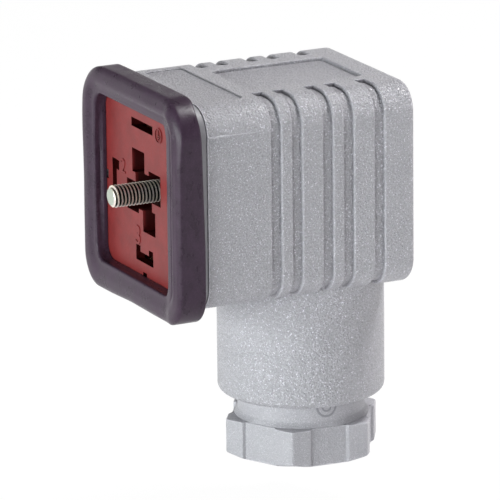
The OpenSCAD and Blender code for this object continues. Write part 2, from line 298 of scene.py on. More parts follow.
@dataclass(frozen=True)
class SmoothPlastic(Finish):
    """Moulded plastic with a faint cloudiness and a very fine skin."""

    mottle: float = 0.06
    shine: float = 0.5
    # how far the painted shade in slots and corners reaches; 0 for none
    hollow_reach: float = 0.0
    # face and half width of the openings, whose inner walls get painted shade
    throat: Pair | None = None

    def texture(self, sheet: Sheet) -> None:
        """Adds the cloudiness and the skin, and paints shade into slots, inner corners and the
        throat.

        Args:
            sheet: the material's nodes.
        """
        cloud = sheet.noise(2.5, 3.0)
        skin = sheet.noise(0.35, 4.0, rough=0.6)
        shade = sheet.blend(sheet.ramp(cloud, 0.3, 0.7), self.tint(1 - self.mottle),
                            self.tint(1 + self.mottle))
        shade = sheet.blend(sheet.ramp(skin, 0.35, 0.75, 0.0, 0.35), shade,
                            self.tint(1 + 2 * self.mottle))
        shine = self.shine
        # painted shade in slots and corners, where the shine is turned down too
        if self.hollow_reach:
            unshaded_share = sheet.ramp(sheet.openness(self.hollow_reach), 0.6, 0.97)
            shade = sheet.blend(unshaded_share, self.tint(0.08), shade)
            shine = sheet.math("MULTIPLY", unshaded_share, self.shine)
        # painted shade on the inner walls of the openings
        if self.throat is not None:
            shade = sheet.blend(self.in_throat(sheet), shade, self.tint(0.22))
        gloss = sheet.ramp(skin, 0.3, 0.7, self.roughness * 0.9, self.roughness * 1.1)
        sheet.set(Specular_IOR_Level=shine, Base_Color=shade, Roughness=gloss,
                  Normal=sheet.bump(skin, 0.006))

    def in_throat(self, sheet: Sheet) -> Socket:
        """Gives 1 behind the face and well inside the outer walls, and 0 elsewhere.

        Args:
            sheet: the material's nodes.

        Returns:
            The share.
        """
        face, half = self.throat
        share = sheet.ramp(sheet.axis("X"), (face + 0.1) * MM, (face + 0.6) * MM)
        for name in ("Y", "Z"):
            beyond = sheet.past(sheet.math("ABSOLUTE", sheet.axis(name)), half)
            share = sheet.math("MULTIPLY", share, sheet.math("SUBTRACT", 1.0, beyond))
        return share


@dataclass(frozen=True)
class MouldedRubber(Finish):
    """Dark rubber with a satin skin, faint flow marks and a slight bloom."""

    bloom: float = 0.25
    shine: float = 0.25

    def texture(self, sheet: Sheet) -> None:
        """Adds flow marks, a slight bloom, a fine skin and painted shade in hollows.

        Args:
            sheet: the material's nodes.
        """
        flow = sheet.noise(1.2, 5.0, stretch=(1.0, 0.5, 0.6))
        skin = sheet.noise(0.22, 3.0, rough=0.6)
        shade = sheet.blend(sheet.ramp(flow, 0.3, 0.75), self.tint(1 - self.bloom / 2),
                            self.tint(1 + self.bloom))
        shade = sheet.blend(sheet.ramp(skin, 0.45, 0.75, 0.0, 0.5), shade, self.tint(1.9))
        # painted shade in hollows, such as the inner walls of the opening
        unshaded_share = sheet.ramp(sheet.openness(2.4), 0.55, 0.92)
        shade = sheet.blend(unshaded_share, self.tint(0.2), shade)
        gloss = sheet.ramp(flow, 0.3, 0.7, self.roughness * 0.85, self.roughness * 1.25)
        sheet.set(Specular_IOR_Level=self.shine, Base_Color=shade, Roughness=gloss,
                  Normal=sheet.bump(skin, 0.016))


@dataclass(frozen=True)
class PlatedMetal(Finish):
    """Plated metal with turning marks and a faint passivation tint."""

    tinge: Colour
    bare_share: float = 1.0
    end_tinge: Colour | None = None
    end_before: float = 0.0

    def texture(self, sheet: Sheet) -> None:
        """Adds the tint's drift, the fine marks of the tool and painted shade in thread roots.

        Args:
            sheet: the material's nodes.
        """
        drift = sheet.noise(0.9, 3.0)
        tool = sheet.noise(0.12, 3.0)
        shade = sheet.blend(sheet.ramp(drift, 0.35, 0.68), self.colour, self.tinge)
        if self.end_tinge is not None:
            shade = sheet.blend(sheet.past(sheet.axis("X"), self.end_before), self.end_tinge,
                                shade)
        # painted shade in the thread roots
        unshaded_share = sheet.ramp(sheet.openness(0.4), 0.58, 0.88)
        shade = sheet.blend(unshaded_share, (0.02, 0.018, 0.018), shade)
        gloss = sheet.ramp(tool, 0.3, 0.7, self.roughness * 0.8, self.roughness * 1.3)
        sheet.set(Metallic=self.bare_share, Base_Color=shade, Roughness=gloss,
                  Normal=sheet.bump(tool, 0.004))


HOUSING_GREY = GrainedPlastic("housing_plastic", "housing_plastic", (0.4, 0.39, 0.424), 0.32,
                              smooth_before=4.46)
LINE_GREY = GrainedPlastic("housing_line", "housing_plastic", (0.41, 0.4, 0.436), 0.34,
                           edge_highlight_tint=1.3)
GLAND_GREY = GrainedPlastic("gland_plastic", "gland_plastic", (0.425, 0.415, 0.45), 0.4,
                            grain=0.17, relief=0.032, painted_glint_strength=0.55, contrast=0.08, shine=0.6,
                            edge_highlight_tint=1.5, corner_shade_tint=0.3)
# the mould mark is the gland's own plastic, painted darker as painted shade so its thin rings show
SHADED_MARK_GREY = SmoothPlastic("gland_mark_painted_shade", "gland_plastic", (0.27, 0.265, 0.29), 0.5)
GASKET_BLACK = MouldedRubber("gasket_rubber", "gasket_rubber", (0.042, 0.024, 0.042), 0.3)
SEAL_BLACK = MouldedRubber("seal_rubber", "seal_rubber", (0.02, 0.019, 0.023), 0.6)
CARRIER_RED = SmoothPlastic("carrier_plastic", "carrier_plastic", (0.19, 0.02, 0.02), 0.45,
                            mottle=0.14, shine=0.36, hollow_reach=3.0, throat=(1.75, 11.2))
WASHER_WHITE = SmoothPlastic("washer_plastic", "washer_plastic", (0.66, 0.64, 0.58), 0.4)
TINNED_BRASS = PlatedMetal("contact_brass", "contact_brass", (0.66, 0.52, 0.28), 0.3,
                           tinge=(0.74, 0.66, 0.48))
ZINC_STEEL = PlatedMetal("plated_steel", "plated_steel", (0.56, 0.57, 0.6), 0.28,
                         tinge=(0.66, 0.66, 0.64))
PASSIVATED_STEEL = PlatedMetal("passivated_steel", "passivated_steel", (0.86, 0.79, 0.66), 0.38,
                               tinge=(0.84, 0.74, 0.72), end_tinge=(0.4, 0.48, 0.4),
                               end_before=-3.08, bare_share=0.7)


def dress(node: str, finish: Finish) -> None:
    """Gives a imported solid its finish.

    Args:
        node: the solid's name.
        finish: the finish for all its surfaces.
    """
    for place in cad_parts[node].material_slots:
        place.material = finish.material()
    LOG.info("%s: packed solid, %s", node, finish.name)


def piece(made: bpy.types.Object, body: str, finish: Finish,
          stands_for: Sequence[str] = ()) -> None:
    """Finishes a piece of the scene and ties it to its body.

    Args:
        made: the piece.
        body: name of the body that carries it.
        finish: the piece's finish.
        stands_for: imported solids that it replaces.
    """
    made.data.materials.clear()
    made.data.materials.append(finish.material())
    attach(made, body)
    if stands_for:
        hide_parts(*stands_for)
    LOG.info("%s: %d faces on %s, %s", made.name, len(made.data.polygons), body, finish.name)


# ---- mesh building


def placed(name: str, data: bpy.types.ID) -> bpy.types.Object:
    """Links a new object of some data, such as a mesh or a lamp, into the scene."""
    bpy.context.scene.collection.objects.link(made := bpy.data.objects.new(name, data))
    return made


def add_mesh(name: str, shape: bmesh.types.BMesh, sharp_deg: float = 32.0) -> bpy.types.Object:
    """Turns a shape in millimetres into an object in metres.

    Args:
        name: the object's name.
        shape: the shape, which is freed.
        sharp_deg: edges that turn by more than this stay sharp.

    Returns:
        The new object.
    """
    bmesh.ops.scale(shape, vec=(MM, MM, MM), verts=shape.verts)
    data = bpy.data.meshes.new(name)
    shape.to_mesh(data)
    shape.free()
    data.shade_smooth()
    data.set_sharp_from_angle(angle=math.radians(sharp_deg))
    return placed(name, data)


def add_box(shape: bmesh.types.BMesh, low: Point, high: Point) -> None:
    """Adds a box to a shape.

    Args:
        shape: the shape that grows.
        low: the box's lowest corner, in millimetres.
        high: its highest corner, in millimetres.
    """
    corners = bmesh.ops.create_cube(shape, size=1.0)["verts"]
    bmesh.ops.scale(shape, vec=[b - a for a, b in zip(low, high)], verts=corners)
    bmesh.ops.translate(shape, vec=[(a + b) / 2 for a, b in zip(low, high)], verts=corners)


def full_turn(steps: int) -> list[float]:
    """Gives equally spaced angles round a full turn, with both of its ends."""
    return [2 * math.pi * i / steps for i in range(steps + 1)]


def rounding(shares: Iterable[float]) -> list[Pair]:
    """Gives points of a quarter round of radius 1.

    Args:
        shares: places along the quarter, from 0 to 1.

    Returns:
        Pairs that start at (0, 1) and end at (1, 0).
    """
    return [(1 - math.cos(share * math.pi / 2), 1 - math.sin(share * math.pi / 2))
            for share in shares]


def loft(rings: Sequence[Ring], round_trip: bool = False,
         shape: bmesh.types.BMesh | None = None) -> bmesh.types.BMesh:
    """Skins a stack of rings with equally many points.

    The last point of each ring may meet its first one, and a ring may shrink to a
    point: points that coincide become one.

    Args:
        rings: the rings, in millimetres.
        round_trip: join the last ring to the first one.
        shape: a shape that it is added to.

    Returns:
        The closed shape, with its faces turned outwards.
    """
    shape = shape or bmesh.new()
    rows = [[shape.verts.new(point) for point in ring] for ring in rings]
    pairs = list(zip(rows, rows[1:]))
    if round_trip:
        pairs.append((rows[-1], rows[0]))
    for low, high in pairs:
        for i in range(len(low) - 1):
            shape.faces.new((low[i], low[i + 1], high[i + 1], high[i]))
    bmesh.ops.remove_doubles(shape, verts=shape.verts, dist=2e-4)
    bmesh.ops.dissolve_degenerate(shape, edges=shape.edges, dist=1e-4)
    bmesh.ops.recalc_face_normals(shape, faces=shape.faces)
    return shape


def cut(target: bpy.types.Object, boxes: Iterable[tuple[Point, Point]]) -> None:
    """Takes boxes out of an object.

    Args:
        target: the object that is cut.
        boxes: lowest and highest corner of each box, in millimetres.
    """
    for low, high in boxes:
        shape = bmesh.new()
        add_box(shape, low, high)
        tool = add_mesh("tool", shape)
        change = target.modifiers.new("cut", "BOOLEAN")
        change.operation, change.solver, change.object = "DIFFERENCE", "EXACT", tool
        bpy.context.view_layer.update()
        graph = bpy.context.evaluated_depsgraph_get()
        result = bpy.data.meshes.new_from_object(target.evaluated_get(graph))
        target.modifiers.remove(change)
        old, target.data = target.data, result
        name = old.name
        bpy.data.meshes.remove(old)
        result.name = name
        bpy.data.objects.remove(tool)


@dataclass(frozen=True)
class Thread:
    """A cut thread on a round bar, along its own axis, in millimetres."""

    major: float
    minor: float
    pitch: float
    start: float
    end: float
    crest: float = 0.16
    root: float = 0.2

    def points(self, turn: float, edge: Callable[[float], float]) -> list[Pair]:
        """Gives the thread's outline on one side of the bar.

        Args:
            turn: place round the bar, from 0 to 1.
            edge: largest radius allowed at each place along the axis.

        Returns:
            Pairs of place along the axis and radius.
        """
        flank = (1.0 - self.crest - self.root) / 2
        steps = ((0.0, self.minor), (self.root, self.minor),
                 (self.root + flank, self.major), (self.root + flank + self.crest, self.major))
        turns = int((self.end - self.start) / self.pitch) + 2
        made = []
        for k in range(-1, turns):
            for share, radius in steps:
                along = self.start + self.pitch * (k + share + turn)
                held = min(max(along, self.start), self.end)
                if held != along:
                    radius = self.minor
                made.append((held, min(radius, edge(held))))
        return made


# ---- sub-assemblies


@dataclass
class Screw:
    """A cheese-head screw with a real thread, a slot and a cross in its head."""

    name: str
    thread: Thread
    tip: float
    tip_radius: float
    shank: float
    head: Pair
    head_radius: float
    slot_depth: float
    steps: int = 48
    tip_run: float = 0.35
    foot: float = 0.12
    under_round: float = 0.15
    top_round: float = 0.35
    slot_half: float = 0.4
    cross_half: float = 0.38
    cross_share: float = 0.62
    cross_extra: float = 0.15

    def limit(self, along: float) -> float:
        """Gives the largest radius that the tapered tip leaves at a place."""
        slope = (self.thread.major - self.tip_radius) / self.tip_run
        return min(self.thread.major, self.tip_radius + (along - self.tip) * slope)

    def outline(self, turn: float) -> list[Pair]:
        """Gives the screw's outline at one place round it.

        Args:
            turn: place round the screw, from 0 to 1.

        Returns:
            Pairs of place along the axis and radius.
        """
        low, high = self.head
        made = [(self.tip, radius)
                for radius in (0.0, self.tip_radius * 0.55, self.tip_radius - 0.05)]
        made += self.thread.points(turn, self.limit)
        made += [(self.thread.end, self.shank), (low - self.foot, self.shank),
                 (low, self.shank + self.foot)]
        made += [(low + self.under_round * a, self.head_radius - self.under_round * b)
                 for a, b in rounding((0.0, 0.3, 0.7, 1.0))]
        made += [(high - self.top_round * b, self.head_radius - self.top_round * a)
                 for a, b in rounding((0.0, 0.25, 0.5, 0.75, 1.0))]
        return made + [(high, 0.0)]

    def build(self) -> bpy.types.Object:
        """Builds the screw about the X axis.

        Returns:
            The screw, with its tip towards -X.
        """
        columns = []
        for i, angle in enumerate(full_turn(self.steps)):
            columns.append([(along, radius * math.cos(angle), radius * math.sin(angle))
                            for along, radius in self.outline(i / self.steps)])
        made = add_mesh(self.name, loft([list(ring) for ring in zip(*columns)]), 38)
        reach = self.head_radius + 1
        cross = self.cross_share * self.head_radius
        floor, above = self.head[1] - self.slot_depth, self.head[1] + 1
        cut(made, (((floor, -reach, -self.slot_half), (above, reach, self.slot_half)),
                   ((floor - self.cross_extra, -self.cross_half, -cross),
                    (above, self.cross_half, cross))))
        return made


@dataclass
class FixingScrew:
    """The captive M3 screw through the plug's middle, and its seal."""

    tip: float = -3.1
    reach: float = 34.0
    head_height: float = 2.1
    shank_start: float = 5.6

    def build(self) -> None:
        """Builds the threaded screw and dresses its seal."""
        thread = Thread(major=1.5, minor=1.14, pitch=0.5, start=self.tip + 0.02,
                        end=self.shank_start, crest=0.28, root=0.3)
        screw = Screw("fixing_screw_threaded", thread, self.tip, tip_radius=1.13, shank=1.2,
                      head=(self.reach - self.head_height, self.reach), head_radius=2.75,
                      slot_depth=1.1, steps=72)
        piece(screw.build(), "fixing_screw", PASSIVATED_STEEL, ["fixing_screw"])
        dress("screw_seal", SEAL_BLACK)


class Pole(Enum):
    """Places of the contacts round the carrier, as turns about the X axis in degrees."""

    EARTH = ("earth", 0)
    ONE = ("1", 90)
    THREE = ("3", 180)
    TWO = ("2", 270)


@dataclass
class Terminals:
    """Contacts with their clamp plates and threaded clamping screws."""

    offset: float = 8.2
    tip: float = 12.7
    head: Pair = (16.85, 18.6)

    def build(self) -> None:
        """Dresses the contacts and clamps and builds a threaded screw on each."""
        for pole in Pole:
            mark, turn = pole.value
            contact, clamp, screw = (f"contact_{mark}", f"wire_clamp_{mark}",
                                     f"terminal_screw_{mark}")
            if pole is Pole.EARTH:
                contact, clamp, screw = "earth_contact", "earth_clamp", "earth_screw"
            dress(contact, TINNED_BRASS)
            dress(clamp, ZINC_STEEL)
            thread = Thread(major=1.5, minor=1.19, pitch=0.5, start=self.tip + 0.02,
                            end=self.head[0] - 0.2)
            made = Screw(f"{screw}_threaded", thread, self.tip, tip_radius=1.13, shank=1.25,
                         head=self.head, head_radius=2.7, slot_depth=0.9).build()
            move = (Matrix.Rotation(math.radians(turn), 4, "X")
                    @ Matrix.Translation((0, 0, self.offset * MM)))
            made.data.transform(move)
            piece(made, f"screw_{mark}", ZINC_STEEL, [screw])


def ease(value: float, low: float, high: float) -> float:
    """Rises smoothly from 0 at low to 1 at high."""
    share = min(1.0, max(0.0, (value - low) / (high - low)))
    return share * share * (3.0 - 2.0 * share)


def near(y: float, z: float, at: Pair, reach: float) -> float:
    """Gives 1 at a place in the mating plane, and less the further from it."""
    return math.exp(-((y - at[0]) ** 2 + (z - at[1]) ** 2) / reach ** 2)


@dataclass
class Housing:
    """The ribbed square shell with its neck."""

    half: float = 13.75
    line_level: float = 10.05
    line_ends: Point = (4.6, 8.2, 12.6)
    line_rise: Pair = (0.14, 0.05)
    sunk: float = 0.05

    def build(self) -> None:
        """Dresses the shell and adds the thin line that the mould leaves on its side."""
        dress("housing", HOUSING_GREY)
        piece(self.mould_line(), "housing", LINE_GREY)

    def mould_line(self) -> bpy.types.Object:
        """Builds the mould line: a thin ridge that starts at the seam and dies away.

        Returns:
            The ridge.
        """
        start, strong, end = self.line_ends
        high, low = self.line_rise
        steps = 40
        rings = [[(start, -self.half + self.sunk, self.line_level)] * 6]
        for i in range(steps + 1):
            x = start + (end - start) * i / steps
            rise = (high - (high - low) * ease(x, strong - 1.0, strong)
                    - low * ease(x, strong, end))
            wide = 0.08 + rise * 0.5
            level = self.line_level + 0.02 * math.sin(x * 2.1)
            rings.append([(x, -self.half + self.sunk - out * (rise + self.sunk),
                           level + side * wide)
                          for out, side in ((0, -1), (0.7, -0.6), (1, 0), (0.7, 0.6), (0, 1),
                                            (0, -1))])
        rings.append([(end, -self.half + self.sunk, self.line_level)] * 6)
        return add_mesh("housing_mould_line", loft(rings))


@dataclass
class Gasket:
    """The square profile gasket round the plug's face, a little out of true as rubber is."""

    half: float = 15.1
    outer_radius: float = 4.3
    corner_changes: tuple[float, float, float, float] = (0.7, 1.1, 0.0, -0.2)
    opening: float = 11.5
    opening_radius: float = 2.1
    pocket: float = 13.26
    pocket_floor: float = 1.72
    depth: float = 3.5
    lip: float = 0.25
    nose: Pair = (1.0, 0.62)
    heel: float = 0.3

    def build(self) -> None:
        """Builds the gasket."""
        rings = [[self.settle(x, y, z, half) for y, z in self.path(half)]
                 for half, x in self.section()]
        made = add_mesh("profile_gasket_moulded", loft(rings, round_trip=True), 50)
        piece(made, "gasket", GASKET_BLACK, ["profile_gasket"])

    def section(self) -> list[Pair]:
        """Gives the profile as (half width, place along X) pairs, in a closed loop.

        Returns:
            The profile's points.
        """
        front = [(self.opening, x) for x in (0.9, 0.6, 0.35)]
        front += [(self.opening + 0.02, 0.2), (self.opening + 0.08, 0.09),
                  (self.opening + 0.19, 0.02), (self.opening + 0.34, 0.0)]
        crown = [self.opening + 0.34 + 0.12 * i for i in range(1, 19)]
        front += [(half, -self.lip * ease(half, 11.9, 13.6)) for half in crown]
        nose = [(self.half - self.nose[0] * b, -self.lip + self.nose[1] * a)
                for a, b in rounding(share / 10 for share in range(1, 11))]
        side = [(self.half, 0.37 + 0.4 * i) for i in range(1, 7)]
        heel = [(self.half - self.heel * a, self.depth - self.heel * b)
                for a, b in rounding(share / 5 for share in range(6))]
        rear = [(14.3, self.depth), (13.8, self.depth), (self.pocket, self.depth),
                (self.pocket, self.pocket_floor + 0.02), (self.pocket - 0.02, self.pocket_floor),
                (self.opening, self.pocket_floor), (self.opening - 0.05, 1.68),
                (self.opening - 0.05, 1.3), (self.opening - 0.02, 1.15)]
        return front + nose + side + heel + rear

    def path(self, half: float) -> list[Pair]:
        """Gives a rounded square in the mating plane.

        Args:
            half: half its width.

        Returns:
            Points (y, z) round it, the last one equal to the first.
        """
        share = (half - self.opening) / (self.half - self.opening)
        radius = self.opening_radius + (self.outer_radius - self.opening_radius) * share
        middles = [half - radius - change * ease(half, self.pocket, self.half)
                   for change in self.corner_changes]
        made = []
        for quarter, middle in enumerate(middles):
            turn = quarter * math.pi / 2
            follow = middles[(quarter + 1) % 4]
            angles = [i / 16 * math.pi / 2 for i in range(17)]
            points = [(middle + (half - middle) * math.cos(angle),
                       middle + (half - middle) * math.sin(angle)) for angle in angles]
            points += [(middle - (middle + follow) * i / 24, half) for i in range(1, 24)]
            made += [(y * math.cos(turn) - z * math.sin(turn),
                      y * math.sin(turn) + z * math.cos(turn)) for y, z in points]
        made.append(made[0])
        return made

    def settle(self, x: float, y: float, z: float, half: float) -> Point:
        """Moves a point of the true profile to where the soft rubber lets it lie.

        Args:
            x: its place along X.
            y: its place along Y.
            z: its place along Z.
            half: half width of the profile line that it is on.

        Returns:
            The settled point.
        """
        front = 1.0 - ease(x, 0.3, 2.8)
        outer = ease(half, 12.2, 15.0)
        if x < 0.6:
            # a shallow groove and a bead run along the face on the -Y side, and faintly on top
            beside = ease(-y, 10.8, 12.2) * (1 - ease(abs(z), 9.5, 13.5))
            above = 0.45 * ease(z, 11.0, 12.4) * ease(-y, -9.0, 9.0)
            groove = math.exp(-((half - 12.65) / 0.22) ** 2)
            bead = math.exp(-((half - 13.45) / 0.4) ** 2)
            x += max(beside, above) * (0.19 * groove - 0.09 * bead)
        # towards the top the outer front edge lies further back
        fat = ease(z, 5.0, 14.5) * (1 - ease(x, 0.3, 2.2))
        x += 0.5 * fat * ease(half, 12.9, 15.1)
        # the top corner at +Y and both upright sides come forward, and the face waves a little
        bulge = near(y, z, (14.5, 13.0), 6.0)
        x -= (0.34 * bulge + 0.1 * ease(y, 9.0, 13.0)) * front * outer
        x -= 0.2 * ease(-y, 10.3, 12.0) * front
        wave = noise.noise(Vector((y, z, 2.0)) * 0.22)
        x += 0.05 * wave * front * outer
        # on the +Y side the lower edge hangs and the top corner is pressed in
        z -= 0.3 * ease(y, 0.0, 9.0) * ease(-z, 9.0, 13.0) * outer
        corner = near(y, z, (15.1, 15.1), 5.5) * outer
        y -= 0.12 * corner
        z -= 0.15 * corner
        # on the -Y side the rear edge comes forward towards the top
        if half > 13.9 and x > 2.6:
            x += min(0.08, 0.17 - 0.024 * (z + 8.5)) * ease(-y, 11.0, 13.5) * ease(x, 2.6, 3.3)
        # the inner lip bows in on the -Y side, and its front bows out on the +Y side
        lip = 1 - ease(half, 11.6, 12.4)
        y += 0.45 * ease(-y, 9.5, 11.4) * lip
        if x < 1.0:
            y += 0.3 * ease(y, 9.5, 11.4) * (1 - ease(abs(z), 3.0, 11.0)) * lip
        return x, y, z


@dataclass
class Carrier:
    """The red contact carrier with its pole numbers and earth sign."""

    face: float = 1.75
    relief: float = 0.12
    bevel: float = 0.04
    sunk: float = -0.05
    digits: tuple[tuple[str, float, float, float], ...] = (
        ("1", 2.6, 7.6, 0.2), ("2", 2.8, -6.2, 2.1), ("3", 3.7, -1.9, -6.4))
    sign: Pair = (4.9, 8.8)
    sign_ring: Pair = (0.9, 1.04)
    stroke_half: float = 0.06

    def build(self) -> None:
        """Dresses the carrier and adds its raised marks."""
        dress("contact_carrier", CARRIER_RED)
        for digit in self.digits:
            piece(self.digit(*digit), "carrier", CARRIER_RED)
        piece(self.earth_sign(*self.sign), "carrier", CARRIER_RED)

    def face_point(self, across: float, up: float, out: float) -> Point:
        """Gives a point on the face: across to the right as seen from the front."""
        return self.face - out, -across, up

    def digit(self, mark: str, size: float, across: float, up: float) -> bpy.types.Object:
        """Makes one raised pole number.

        Args:
            mark: the number.
            size: its letter size.
            across: its middle, to the right as seen from the front.
            up: its middle, upwards.

        Returns:
            The raised number.
        """
        words = bpy.data.curves.new(f"mark_{mark}", "FONT")
        words.body = mark
        words.size = size * MM
        words.extrude = (self.relief - self.bevel) * MM
        words.bevel_depth = self.bevel * MM
        words.offset = -self.bevel / 2 * MM
        words.align_x, words.align_y = "CENTER", "CENTER"
        written = placed(f"mark_{mark}_outline", words)
        bpy.context.view_layer.update()
        graph = bpy.context.evaluated_depsgraph_get()
        data = bpy.data.meshes.new_from_object(written.evaluated_get(graph))
        data.name = f"pole_mark_{mark}"
        bpy.data.objects.remove(written)
        bpy.data.curves.remove(words)
        data.transform(Matrix(((0, 0, -1, 0), (-1, 0, 0, 0), (0, 1, 0, 0), (0, 0, 0, 1))))
        data.transform(Matrix.Translation(
            [c * MM for c in self.face_point(across, up, 0.0)]))
        return placed(data.name, data)

    def earth_sign(self, across: float, up: float) -> bpy.types.Object:
        """Makes the raised earth sign in its ring.

        Args:
            across: its middle, to the right as seen from the front.
            up: its middle, upwards.

        Returns:
            The raised sign.
        """
        shape = bmesh.new()
        bars = [(0.08, -0.05, 0.72)]
        bars += [(half, level - self.stroke_half, level + self.stroke_half)
                 for half, level in ((0.55, -0.05), (0.36, -0.3), (0.17, -0.55))]
        for half, low, high in bars:
            add_box(shape, self.face_point(across + half, up + low, self.relief),
                    self.face_point(across - half, up + high, self.sunk))
        inner, outer = self.sign_ring
        rings = [[self.face_point(across + radius * math.cos(a), up + radius * math.sin(a), out)
                  for a in full_turn(40)]
                 for radius, out in ((inner, self.sunk), (inner, self.relief),
                                     (outer, self.relief), (outer, self.sunk))]
        return add_mesh("earth_mark", loft(rings, round_trip=True, shape=shape))


@dataclass
class Gland:
    """The cable gland: hexagonal gland screw, washer and sealing grommet."""

    centre: float = 24.66
    corner: float = 11.05
    turn: float = -3.1
    grip: float = 5.0
    grip_slope: float = 0.26
    grip_floor: float = 9.15
    top: float = -33.1
    bottom: float = -38.4
    cone_start: float = 9.4
    cone_slope: float = 0.412
    foot: float = 0.6
    sleeve: float = 8.6
    sleeve_top: float = -21.9
    thread_depth: float = 0.55
    thread_length: float = 7.2
    pitch: float = 1.5
    bore: float = 5.2
    entry: float = 2.46
    flare: float = 1.5
    edge_round: float = 0.14
    root_round: float = 0.06
    corner_round: float = 0.32
    mark_turn: float = -93.3
    mark_level: float = -30.4
    mark_rings: tuple[Pair, ...] = ((1.34, 0.3), (0.62, 0.24))
    mark_rise: float = 0.04

    def at(self, radius: float, angle: float, level: float) -> Point:
        """Gives a point from its place round the gland's axis."""
        return self.centre + radius * math.cos(angle), radius * math.sin(angle), level

    def build(self) -> None:
        """Builds the gland screw with its mould mark and dresses the washer and grommet."""
        piece(self.screw(), "gland", GLAND_GREY, ["gland_screw"])
        # its mould mark is painted darker, as painted shade
        piece(self.mould_mark(), "gland", SHADED_MARK_GREY)
        dress("gland_washer", WASHER_WHITE)
        dress("cable_grommet", SEAL_BLACK)

    def plan(self) -> list[Pair]:
        """Gives the hexagon's plan with its shallow grips, its corners softly rounded.

        Returns:
            Points round the axis, the last one equal to the first.
        """
        flat = self.corner * math.cos(math.pi / 6)
        low, high = self.grip / 2, self.grip / 2 + self.grip_slope
        corners: list[tuple[Vector, float]] = []
        for k in range(6):
            middle = math.radians(60 * k + 30 + self.turn)
            out = Vector((math.cos(middle), math.sin(middle)))
            side = Vector((-out.y, out.x))
            corners += [(out * flat - side * high, self.edge_round),
                        (out * self.grip_floor - side * low, self.root_round),
                        (out * self.grip_floor + side * low, self.root_round),
                        (out * flat + side * high, self.edge_round)]
            follow = middle + math.pi / 6
            corners.append((Vector((math.cos(follow), math.sin(follow))) * self.corner,
                            self.corner_round))
        soft: list[Vector] = []
        for i, (here, reach) in enumerate(corners):
            before = (corners[i - 1][0] - here).normalized() * reach
            after = (corners[(i + 1) % len(corners)][0] - here).normalized() * reach
            for share in (0.0, 0.25, 0.5, 0.75, 1.0):
                soft.append((here + before * (1 - share)).lerp(here + after * share, share))
        soft.append(soft[0])
        points: list[Pair] = []
        for start, end in zip(soft, soft[1:]):
            parts = max(1, math.ceil((end - start).length / 0.4))
            points += [tuple(start.lerp(end, j / parts)) for j in range(parts)]
        points.append(points[0])
        return points

    def inset(self, plan: list[Pair], depth: float) -> list[Pair]:
        """Moves a closed plan inwards.

        Args:
            plan: the points, the last one equal to the first.
            depth: how far they move.

        Returns:
            The moved points.
        """
        count = len(plan) - 1
        moved = []
        for i in range(count):
            ahead = Vector(plan[(i + 1) % count]) - Vector(plan[(i - 1) % count])
            side = Vector((-ahead.y, ahead.x)).normalized()
            moved.append(tuple(Vector(plan[i]) + side * depth))
        moved.append(moved[0])
        return moved

    def lower_edge(self, radius: float) -> float:
        """Gives the level of the hexagon's conical underside at a radius."""
        return self.bottom + max(0.0, radius - self.cone_start) * self.cone_slope

    def screw(self) -> bpy.types.Object:
        """Builds the gland screw: hexagon, collar and threaded sleeve, bored through.

        Returns:
            The gland screw.
        """
        plan = self.plan()
        spans = [0.0]
        for start, end in zip(plan, plan[1:]):
            spans.append(spans[-1] + math.dist(start, end))
        turns = [span / spans[-1] for span in spans]
        first = math.atan2(plan[0][1], plan[0][0])
        angles = [first + 2 * math.pi * t for t in turns]
        root = self.sleeve - self.thread_depth
        thread = Thread(self.sleeve, root, self.pitch, self.sleeve_top - self.thread_length,
                        self.sleeve_top - 0.3, crest=0.22)

        def level(points: list[Pair], z: float) -> Ring:
            """Lays a plan at a level."""
            return [(self.centre + x, y, z) for x, y in points]

        def circle(radius: float, z: float) -> Ring:
            """Lays a circle at a level."""
            return [self.at(radius, a, z) for a in angles]

        def underside(depth: float, lift: float) -> Ring:
            """Lays the inset plan on the conical underside, lifted a little."""
            return [(self.centre + x, y, self.lower_edge(math.hypot(x, y)) + lift)
                    for x, y in self.inset(plan, depth)]

        def ledge(radius: float, z: float) -> Ring:
            """Lays a circle that stays inside the plan at a level."""
            return [self.at(min(radius, math.hypot(x, y) - 0.18), a, z)
                    for a, (x, y) in zip(angles, plan)]

        # the flared mouth of the bore, the conical underside and the rounded top edge
        rings = [circle(self.bore, self.bottom + self.entry)]
        rings += [circle(self.bore + self.flare * a, self.bottom + 0.05 + (self.entry - 0.1) * b)
                  for a, b in rounding(share / 8 for share in range(9))]
        rings += [circle(self.bore + self.flare + 0.2, self.bottom), underside(0.3, 0.0),
                  underside(0.1, 0.03), underside(0.0, 0.13), level(plan, self.top - 0.16),
                  level(self.inset(plan, 0.04), self.top - 0.05),
                  level(self.inset(plan, 0.14), self.top)]
        # the foot of the collar, the collar and the threaded end
        rings += [ledge(self.grip_floor, self.top), ledge(self.grip_floor - 0.04, self.top + 0.04),
                  circle(self.sleeve + 0.04, self.top + self.foot),
                  circle(self.sleeve, self.top + self.foot + 0.08)]
        rings += [circle(self.sleeve, self.top + self.foot + 0.3 * step) for step in range(1, 11)]
        columns = [thread.points(t, lambda _: self.sleeve) for t in turns]
        rings += [[self.at(radius, a, z) for a, (z, radius) in zip(angles, row)]
                  for row in zip(*columns)]
        # the rounded end of the sleeve and its bore
        rings += [circle(root, self.sleeve_top - 0.2), circle(root - 0.2, self.sleeve_top),
                  circle(self.bore + 0.3, self.sleeve_top),
                  circle(self.bore, self.sleeve_top - 0.3)]
        return add_mesh("gland_screw_moulded", loft(rings, round_trip=True))

